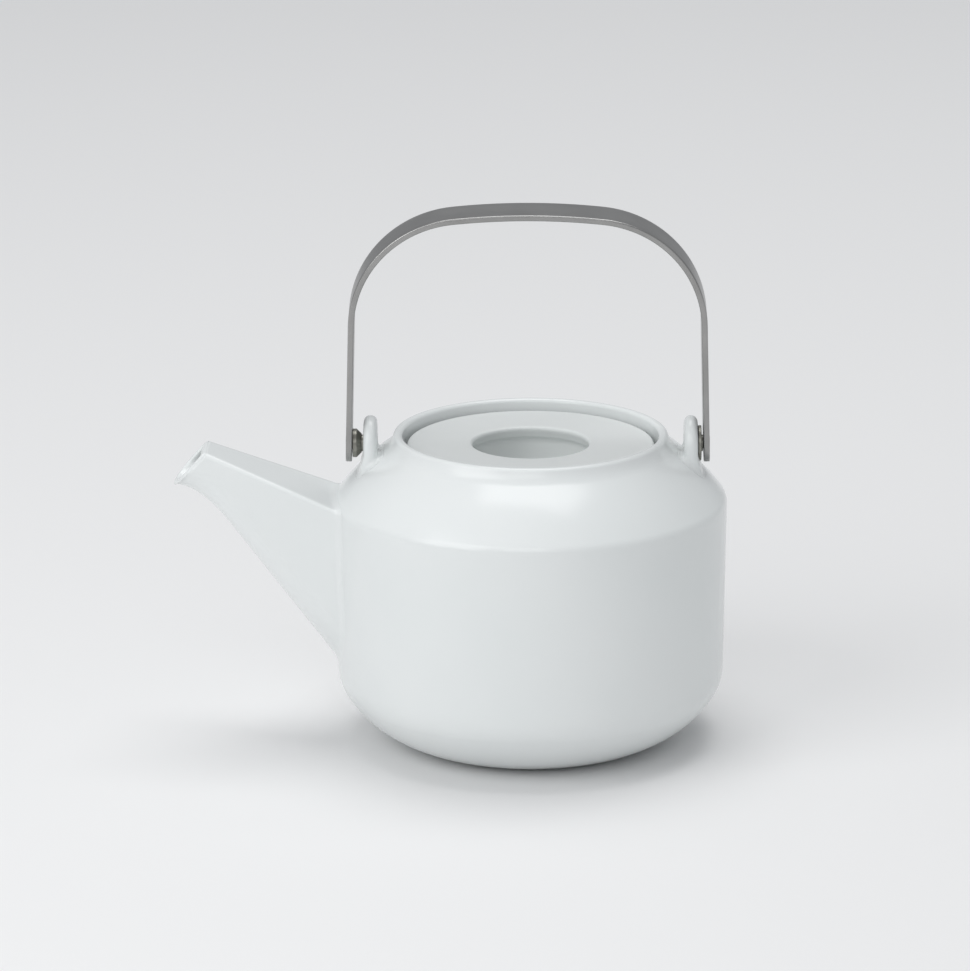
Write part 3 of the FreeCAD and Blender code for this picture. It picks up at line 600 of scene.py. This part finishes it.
def lid(material):
    """Flat lid with a rounded finger hole and a closed well that is wider than the hole."""
    throat_z = LID_Z - HOLE_DEPTH
    well = WELL_HIGH[0] - WELL_WALL
    low, under = LID_LOW[2], WELL_HIGH[2]
    floor = WELL_LOW[2] + WELL_WALL
    outline = rounded([
        (0, floor, 0),
        (well, floor, 9.0),
        (well, under, 2.6),
        (HOLE_RADIUS + HOLE_RELIEF, throat_z, 0.5),
        (HOLE_RADIUS, LID_Z, HOLE_LIP),
        (LID_RADIUS, LID_Z, 0.9),
        (LID_RADIUS, low, 0.5),
        (LID_RADIUS - LID_RIM_WIDTH, low, 0.4),
        (LID_RADIUS - LID_RIM_WIDTH, under, 1.0),
        (WELL_HIGH[0], under, 1.0),
        (WELL_HIGH[0], WELL_LOW[2], 11.0),
        (0, WELL_LOW[2], 0),
    ], step=5.0)
    return make_closed(lathe("lid_porcelain", divided(outline, 2.5), material, segments=224))


# ---------------------------------------------------------------- steel pieces

def band_path():
    """Middle line of the band, drawn upright about the pivot: points, outward normals and lengths."""
    inset = BAND_THICKNESS / 2
    sine, cosine = math.sin(BAND_SPLAY), math.cos(BAND_SPLAY)
    crown_z = BAND_TOP - BAND_CROWN
    start = np.array([BAND_HALF - BAND_BEND * cosine, -BAND_BEND * sine - crown_z])
    ahead = start @ np.array([-sine, cosine])
    leg = -ahead + math.sqrt(ahead ** 2 - start @ start + (BAND_CROWN - BAND_BEND) ** 2)
    centre = np.array([start[0] - leg * sine, crown_z + start[1] + leg * cosine])
    last = math.atan2(centre[1] - crown_z, centre[0])
    foot = -BAND_END / cosine
    along = list(foot + BAND_END_ROUND * (1 - np.cos(np.linspace(0, math.pi / 2, 13))))
    along += list(np.linspace(foot + BAND_END_ROUND, leg, 22)[1:])
    points = []
    for u in along:
        points.append((BAND_HALF - u * sine - inset * cosine, u * cosine - inset * sine, cosine, sine))
    for turn in np.linspace(BAND_SPLAY, last, 34)[1:]:
        out = np.array([math.cos(turn), math.sin(turn)])
        points.append((*(centre + out * (BAND_BEND - inset)), *out))
    for turn in np.linspace(last, math.pi / 2, 16)[1:]:
        out = np.array([math.cos(turn), math.sin(turn)])
        points.append((*(out * (BAND_CROWN - inset) + np.array([0.0, crown_z])), *out))
    right = np.array(points)
    left = right[:-1][::-1] * np.array([-1, 1, -1, 1])
    whole = np.vstack([right, left])
    steps = np.linalg.norm(np.diff(whole[:, :2], axis=0), axis=1)
    return whole, np.concatenate([[0], np.cumsum(steps)])


def handle_band(material):
    """Flat band with softened edges, rounded leg ends and a slight lean."""
    path, length = band_path()
    rows, uvs = [], []
    half_thickness = BAND_THICKNESS / 2
    for (x, z, nx, nz), along in zip(path, length):
        from_end = min(along, length[-1] - along)
        left_over = max(0.0, BAND_END_ROUND - from_end)
        width = BAND_HALF_WIDTH - BAND_END_ROUND + math.sqrt(max(BAND_END_ROUND ** 2 - left_over ** 2, 0.0))
        arris = min(0.42, width * 0.45)
        section = rounded([
            (half_thickness, width, arris), (-half_thickness, width, arris),
            (-half_thickness, -width, arris), (half_thickness, -width, arris),
        ], closed=True, step=18.0)
        section = with_sides(section, width)
        rows.append([(x + nx * t, w, z + nz * t) for t, w in section])
        uvs.append([(along, w + (40 if t < 0 else 0)) for t, w in section])
    rows, uvs = np.array(rows), np.array(uvs)
    count = rows.shape[1]
    faces = grid_faces(len(rows), count)
    faces += [tuple(range(count)), tuple(range((len(rows) - 1) * count, len(rows) * count))[::-1]]
    band = new_object("handle_bail", rows.reshape(-1, 3), faces, material, uvs.reshape(-1, 2))
    recalc(band)
    return place(band, handle_placement())


def with_sides(section, width):
    """Add points across the two wide faces so that shading stays even."""
    out = []
    for start, end in zip(section, np.roll(section, -1, axis=0)):
        out.append(start)
        if abs(start[1] - end[1]) > width * 0.5:
            out += [start + (end - start) * k / 6 for k in range(1, 6)]
    return np.array(out)


def handle_placement():
    return Matrix.Translation((BAND_SHIFT, 0, PIVOT_Z)) @ Matrix.Rotation(BAND_LEAN, 4, "X")


PIN_RADIUS = 2.5
PIN_TAIL_RADIUS = 1.7
PIN_HEAD_RADIUS = 2.4
WASHER_BORE = 2.55
FRONT_WASHER_BEVEL = 1.5
REAR_WASHER_BEVEL = 0.2


def pivot_pin(name, side, material):
    """Stub pin with a low rivet head on the outside of the leg."""
    low, high = span(name)
    outer = max(abs(low[0]), abs(high[0]))
    inner = min(abs(low[0]), abs(high[0]))
    shoulder = outer - BAND_THICKNESS - LEG_CLEARANCE
    outline = rounded([
        (0, inner, 0), (PIN_RADIUS, inner, 0.5), (PIN_RADIUS, shoulder, 0.05),
        (PIN_TAIL_RADIUS, shoulder, 0.0), (PIN_TAIL_RADIUS, outer - 0.05, 0.0),
        (PIN_HEAD_RADIUS, outer - 0.05, 0.0), (PIN_HEAD_RADIUS - 0.1, outer + 0.1, 0.1),
        (0, outer + 0.14, 0),
    ], step=12.0)
    thing = make_closed(lathe(name + "_visual", outline, material, segments=56, axis="X"))
    flip = Matrix.Scale(-1, 4, (1, 0, 0)) if side < 0 else Matrix.Identity(4)
    place(thing, Matrix.Translation((0, 0, PIVOT_Z)) @ flip)
    recalc(thing)
    return thing


def washer(name, bevel, side, material):
    """Turned washer, bevelled towards the lug."""
    low, high = span(name)
    near, far = sorted((abs(low[0]), abs(high[0])))
    radius = high[1]
    outline = rounded([
        (WASHER_BORE, near, 0.08), (radius - bevel, near, 0.12), (radius, near + bevel, 0.12),
        (radius, far, 0.12), (WASHER_BORE, far, 0.08),
    ], closed=True, step=15.0)
    thing = make_closed(lathe(name + "_visual", outline, material, segments=64, axis="X", ring=True))
    flip = Matrix.Scale(-1, 4, (1, 0, 0)) if side < 0 else Matrix.Identity(4)
    place(thing, Matrix.Translation((0, 0, PIVOT_Z)) @ flip)
    recalc(thing)
    return thing


# ---------------------------------------------------------------- infuser

BASKET_RADIUS = MESH_HIGH[0]
WIRE = 0.13
MESH_PITCH = 1.0


def strainer_rim(material):
    """Pressed flange with a rolled edge, and the skirt that holds the mesh."""
    flange, top = RIM_HIGH[0], RIM_HIGH[2]
    low = RIM_LOW[2]
    skirt = BASKET_RADIUS + 0.6
    outline = rounded([
        (BASKET_RADIUS, low, 0.1), (skirt, low, 0.2), (skirt, top - 0.8, 0.7), (flange, top - 0.8, 0.38),
        (flange, top, 0.38), (BASKET_RADIUS, top, 0.9),
    ], closed=True, step=12.0)
    return make_closed(lathe("strainer_flange", outline, material, segments=192, ring=True))


def strainer_base_ring(material):
    low, high = BASE_LOW[2], BASE_HIGH[2]
    outer, inner = BASE_HIGH[0], BASKET_RADIUS - 2.0
    outline = rounded([
        (inner, low, 0.2), (outer, low, 0.5), (outer, high, 0.25), (BASKET_RADIUS, high, 0.1),
        (BASKET_RADIUS, low + 0.6, 0.1), (inner, low + 0.6, 0.2),
    ], closed=True, step=15.0)
    return make_closed(lathe("strainer_foot_ring", outline, material, segments=192, ring=True))


def strainer_seam(material):
    """Lapped strip up the far side of the mesh, with a row of small weld spots."""
    low, high = BASE_HIGH[2], RIM_LOW[2]
    angles = np.radians(90 + np.linspace(-5.5, 5.5, 13))
    heights = np.linspace(low, high, 60)
    back, front = [], []
    for z in heights:
        for a in angles:
            turn = np.array([math.cos(a), math.sin(a), 0.0])
            up = np.array([0.0, 0.0, z])
            back.append(turn * (BASKET_RADIUS + 0.02) + up)
            front.append(turn * (BASKET_RADIUS + 0.28 - weld_dip(z, a)) + up)
    back, front = np.array(back), np.array(front)
    count = len(back)
    faces = grid_faces(len(heights), len(angles), wrap_columns=False)
    faces += [f[::-1] for f in grid_faces(len(heights), len(angles), wrap_columns=False, offset=count)]
    rim = border(len(heights), len(angles))
    for a, b in zip(rim, rim[1:] + rim[:1]):
        faces.append((a, b, b + count, a + count))
    strip = new_object("strainer_seam", np.vstack([back, front]), faces, material)
    recalc(strip)
    return strip


def weld_dip(z, angle):
    """Shallow round dent every 4 mm along the middle of the strip."""
    across = (angle - math.pi / 2) * BASKET_RADIUS
    along = (z + 2.0) % 4.0 - 2.0
    return 0.12 * math.exp(-(across ** 2 + along ** 2) / 0.5)


def border(rows, columns):
    """Indices around the edge of a grid."""
    first = list(range(columns))
    right = [i * columns + columns - 1 for i in range(1, rows)]
    last = [(rows - 1) * columns + j for j in range(columns - 2, -1, -1)]
    left = [i * columns for i in range(rows - 2, 0, -1)]
    return first + right + last + left


def wires(name, lines, material, closed=False):
    """Thin three-sided wires along polylines of 3-D points with side directions."""
    vertices, faces = [], []
    corners = [(math.cos(a), math.sin(a)) for a in (math.pi / 2, math.pi * 7 / 6, math.pi * 11 / 6)]
    base = 0
    for points, side_a, side_b in lines:
        ring = [points + (side_a * c + side_b * s) * WIRE for c, s in corners]
        block = np.stack(ring, 1)
        vertices.append(block.reshape(-1, 3))
        faces += grid_faces(len(points), 3, wrap_rows=closed, offset=base)
        if not closed:
            end = base + (len(points) - 1) * 3
            faces += [(base, base + 1, base + 2), (end + 2, end + 1, end)]
        base += len(points) * 3
    return new_object(name, np.vstack(vertices), faces, material)


def side_mesh(material):
    """Woven tube: upright wires and hoops that pass over and under each other."""
    count = int(round(2 * math.pi * BASKET_RADIUS / MESH_PITCH / 2)) * 2
    low, high = MESH_LOW[2], RIM_LOW[2] + 5.0
    levels = np.arange(low, high, MESH_PITCH)
    radius = BASKET_RADIUS - 0.2
    angles = np.arange(count) * 2 * math.pi / count
    sign = (-1.0) ** (np.arange(count)[:, None] + np.arange(len(levels))[None])
    upright, hoops = [], []
    up = np.array([0.0, 0.0, 1.0])
    for i, angle in enumerate(angles):
        out = np.array([math.cos(angle), math.sin(angle), 0.0])
        across = np.array([-math.sin(angle), math.cos(angle), 0.0])
        points = out * (radius + WIRE * 0.8 * sign[i])[:, None]
        points[:, 2] = levels
        upright.append((points, out[None], across[None]))
    for j, z in enumerate(levels):
        out = np.stack([np.cos(angles), np.sin(angles), np.zeros(count)], 1)
        points = out * (radius - WIRE * 0.8 * sign[:, j])[:, None]
        points[:, 2] = z
        hoops.append((points, out, up[None]))
    uprights = wires("strainer_mesh_wires", upright, material)
    return uprights, wires("strainer_mesh_hoops", hoops, material, True)


def base_mesh(material):
    """Woven disc in the bottom of the basket."""
    radius = BASKET_RADIUS - 0.4
    z = BASE_LOW[2] + 0.8
    steps = int(radius / MESH_PITCH)
    lines = []
    up = np.array([0.0, 0.0, 1.0])
    for i in range(-steps, steps + 1):
        half = math.sqrt(radius ** 2 - (i * MESH_PITCH) ** 2)
        reach = int(half / MESH_PITCH)
        if reach < 1:
            continue
        along = np.arange(-reach, reach + 1)
        lift = WIRE * 0.8 * (-1.0) ** (along + i)
        first = np.column_stack([along * MESH_PITCH, np.full(len(along), i * MESH_PITCH), z + lift])
        second = np.column_stack([np.full(len(along), i * MESH_PITCH), along * MESH_PITCH, z - lift])
        lines.append((first, up[None], np.array([[0.0, 1.0, 0.0]])))
        lines.append((second, up[None], np.array([[1.0, 0.0, 0.0]])))
    return wires("strainer_floor_mesh", lines, material)


# ---------------------------------------------------------------- materials

def new_material(name):
    material = bpy.data.materials.new(name)
    material.use_nodes = True
    tree = material.node_tree
    shader = tree.nodes["Principled BSDF"]
    return material, tree, shader


def noise(tree, source, scale, detail=3.0, stretch=(1, 1, 1)):
    """Noise texture in the object's own metres, or along UVs when source is UV."""
    coordinates = tree.nodes.new("ShaderNodeTexCoord")
    mapping = tree.nodes.new("ShaderNodeMapping")
    mapping.inputs["Scale"].default_value = stretch
    texture = tree.nodes.new("ShaderNodeTexNoise")
    texture.inputs["Scale"].default_value = scale
    texture.inputs["Detail"].default_value = detail
    tree.links.new(coordinates.outputs[source], mapping.inputs["Vector"])
    tree.links.new(mapping.outputs["Vector"], texture.inputs["Vector"])
    return texture.outputs["Fac"]


def ramp(tree, value, stops):
    """Colour ramp from (position, colour) stops."""
    node = tree.nodes.new("ShaderNodeValToRGB")
    elements = node.color_ramp.elements
    while len(elements) < len(stops):
        elements.new(0.5)
    for element, (position, colour) in zip(elements, stops):
        element.position = position
        element.color = (*colour, 1.0)
    tree.links.new(value, node.inputs["Fac"])
    return node.outputs["Color"]


def spread(tree, value, low, high):
    """Map a 0 to 1 value to a range."""
    node = tree.nodes.new("ShaderNodeMapRange")
    node.inputs["To Min"].default_value = low
    node.inputs["To Max"].default_value = high
    tree.links.new(value, node.inputs["Value"])
    return node.outputs["Result"]


def bump(tree, shader, *layers):
    """Stack of bump layers (height, strength, distance in metres)."""
    normal = None
    for height, strength, distance in layers:
        node = tree.nodes.new("ShaderNodeBump")
        node.inputs["Strength"].default_value = strength
        node.inputs["Distance"].default_value = distance
        tree.links.new(height, node.inputs["Height"])
        if normal is not None:
            tree.links.new(normal, node.inputs["Normal"])
        normal = node.outputs["Normal"]
    tree.links.new(normal, shader.inputs["Normal"])


def glazed_porcelain():
    """White glaze with a faint cold cast that drifts over the pot."""
    material, tree, shader = new_material("porcelain_glaze")
    drift = noise(tree, "Object", 22.0, 2.0)
    colour = ramp(tree, drift, [(0.30, (0.785, 0.815, 0.812)), (0.70, (0.812, 0.836, 0.833))])
    tree.links.new(colour, shader.inputs["Base Color"])
    tree.links.new(spread(tree, noise(tree, "Object", 60.0), 0.16, 0.26), shader.inputs["Roughness"])
    shader.inputs["IOR"].default_value = 1.5
    bump(tree, shader, (noise(tree, "Object", 35.0, 1.0), 0.10, 0.0006),
         (noise(tree, "Object", 900.0, 2.0), 0.05, 0.0001))
    return material


def bare_foot():
    """Unglazed, ground foot ring."""
    material, tree, shader = new_material("porcelain_bare")
    speck = noise(tree, "Object", 1500.0, 4.0)
    tree.links.new(ramp(tree, speck, [(0.35, (0.62, 0.58, 0.52)), (0.65, (0.72, 0.69, 0.64))]),
                   shader.inputs["Base Color"])
    shader.inputs["Roughness"].default_value = 0.72
    bump(tree, shader, (speck, 0.35, 0.0001))
    return material


def satin_lid_painted_shade():
    """Satin matt glaze of the lid. Its colour is the pot's porcelain painted darker, as painted shade on the
    lid's flat top.
    """
    material, tree, shader = new_material("porcelain_lid_painted_shade")
    drift = noise(tree, "Object", 30.0, 3.0)
    # Darker tone than the pot's glaze is painted shade on the lid's flat top; the drift within it is random
    # tone.
    colour = ramp(tree, drift, [(0.30, (0.690, 0.715, 0.708)), (0.70, (0.725, 0.748, 0.742))])
    tree.links.new(colour, shader.inputs["Base Color"])
    tree.links.new(spread(tree, noise(tree, "Object", 150.0), 0.38, 0.50), shader.inputs["Roughness"])
    bump(tree, shader, (noise(tree, "Object", 1400.0, 3.0), 0.08, 0.0001))
    return material


def steel(name, colour, roughness, source, stretch, strength):
    """Stainless steel with fine brushing and slight wear."""
    material, tree, shader = new_material(name)
    grain = noise(tree, source, 1.0, 4.0, stretch)
    cloud = noise(tree, "Object", 90.0, 3.0)
    dark = tuple(c * 0.86 for c in colour)
    tree.links.new(ramp(tree, cloud, [(0.3, dark), (0.7, colour)]), shader.inputs["Base Color"])
    tree.links.new(spread(tree, grain, roughness - 0.07, roughness + 0.09), shader.inputs["Roughness"])
    shader.inputs["Metallic"].default_value = 1.0
    bump(tree, shader, (grain, strength, 0.00005))
    return material


# ---------------------------------------------------------------- assembly

def show(piece, body, slot_name, *nodes):
    """Ride on a body and stand for CAD nodes."""
    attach(piece, body)
    if nodes:
        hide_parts(*nodes)


def build():
    glaze = glazed_porcelain()
    # The lid's colour carries painted shade: the same porcelain, painted darker.
    lid_glaze_painted_shade = satin_lid_painted_shade()
    band_steel = steel("steel_brushed", (0.385, 0.382, 0.376), 0.30, "UV", (12, 1600, 1), 0.30)
    turned_steel = steel("steel_turned", (0.34, 0.335, 0.30), 0.38, "Object", (2500, 60, 60), 0.15)
    sheet_steel = steel("steel_sheet", (0.62, 0.615, 0.605), 0.30, "Object", (60, 60, 1800), 0.15)
    wire_steel = steel("steel_wire", (0.58, 0.575, 0.565), 0.36, "Object", (700, 700, 700), 0.10)
    show(pot_shell(glaze, bare_foot()), "pot", "porcelain", "pot_body")
    show(spout_shell(glaze), "pot", "porcelain", "spout")
    for name, side in (("front", -1), ("rear", 1)):
        show(lug(name + "_lug_visual", side, glaze), "pot", "porcelain", name + "_lug")
        show(pivot_pin(name + "_pivot_pin", side, turned_steel), "handle", "pin_steel", name + "_pivot_pin")
    show(washer("front_washer", FRONT_WASHER_BEVEL, -1, turned_steel), "handle", "pin_steel", "front_washer")
    show(washer("rear_washer", REAR_WASHER_BEVEL, 1, turned_steel), "handle", "pin_steel", "rear_washer")
    show(handle_band(band_steel), "handle", "handle_steel", "handle_band")
    show(lid(lid_glaze_painted_shade), "lid", "lid_porcelain", "lid_plate", "lid_well")
    show(strainer_rim(sheet_steel), "strainer", "strainer_steel", "strainer_rim")
    show(strainer_base_ring(sheet_steel), "strainer", "strainer_steel", "strainer_base_ring")
    show(strainer_seam(sheet_steel), "strainer", "strainer_steel", "strainer_seam_strip")
    uprights, hoops = side_mesh(wire_steel)
    show(uprights, "strainer", "strainer_mesh", "strainer_side_mesh")
    show(hoops, "strainer", "strainer_mesh", "strainer_side_mesh")
    show(base_mesh(wire_steel), "strainer", "strainer_mesh", "strainer_base_mesh")


# ---------------------------------------------------------------- stage, light and camera

def stage():
    """Plain pale floor that runs on behind the pot."""
    material, _, shader = new_material("stage_pale")
    shader.inputs["Base Color"].default_value = (0.84, 0.84, 0.84, 1)
    shader.inputs["Roughness"].default_value = 0.9
    reach = 9000.0
    corners = [(x, y, -0.02) for y in (-reach, reach) for x in (-reach, reach)]
    new_object("floor", corners, [(0, 1, 3, 2)], material)


def area_light(name, place_m, aim_m, size_m, power):
    light = bpy.data.lights.new(name, "AREA")
    light.shape = "RECTANGLE"
    light.size, light.size_y = size_m
    light.energy = power
    thing = bpy.data.objects.new(name, light)
    bpy.context.scene.collection.objects.link(thing)
    thing.location = place_m
    thing.rotation_euler = (Vector(aim_m) - Vector(place_m)).to_track_quat("-Z", "Y").to_euler()


def lights():
    aim = (0.0, 0.0, 0.06)
    area_light("key", (-0.85, -0.75, 0.75), aim, (0.9, 0.9), 5.7)
    area_light("top", (0.1, 0.4, 2.5), aim, (1.7, 1.7), 28.0)
    area_light("front", (-0.1, -1.7, 1.1), aim, (0.9, 0.9), 3.7)
    world = bpy.data.worlds.new("studio")
    world.use_nodes = True
    world.node_tree.nodes["Background"].inputs["Color"].default_value = (0.95, 0.97, 1.0, 1)
    world.node_tree.nodes["Background"].inputs["Strength"].default_value = 0.42
    bpy.context.scene.world = world


def camera():
    """Long lens, a little above the pot, looking along +Y."""
    elevation = math.radians(15.79)
    distance = 1.6
    centre_z = 0.080
    data = bpy.data.cameras.new("camera")
    data.lens = 197.6
    data.sensor_width = 36.0
    data.clip_start = 0.05
    thing = bpy.data.objects.new("camera", data)
    bpy.context.scene.collection.objects.link(thing)
    thing.location = (0.0, -distance * math.cos(elevation), centre_z + distance * math.sin(elevation))
    data.shift_x = -0.0470
    data.shift_y = -0.0059
    aim = Vector((0.0, 0.0, centre_z))
    thing.rotation_euler = (aim - thing.location).to_track_quat("-Z", "Y").to_euler()
    bpy.context.scene.camera = thing


camera()
build()
stage()
lights()
bpy.context.scene.view_settings.view_transform = "Standard"
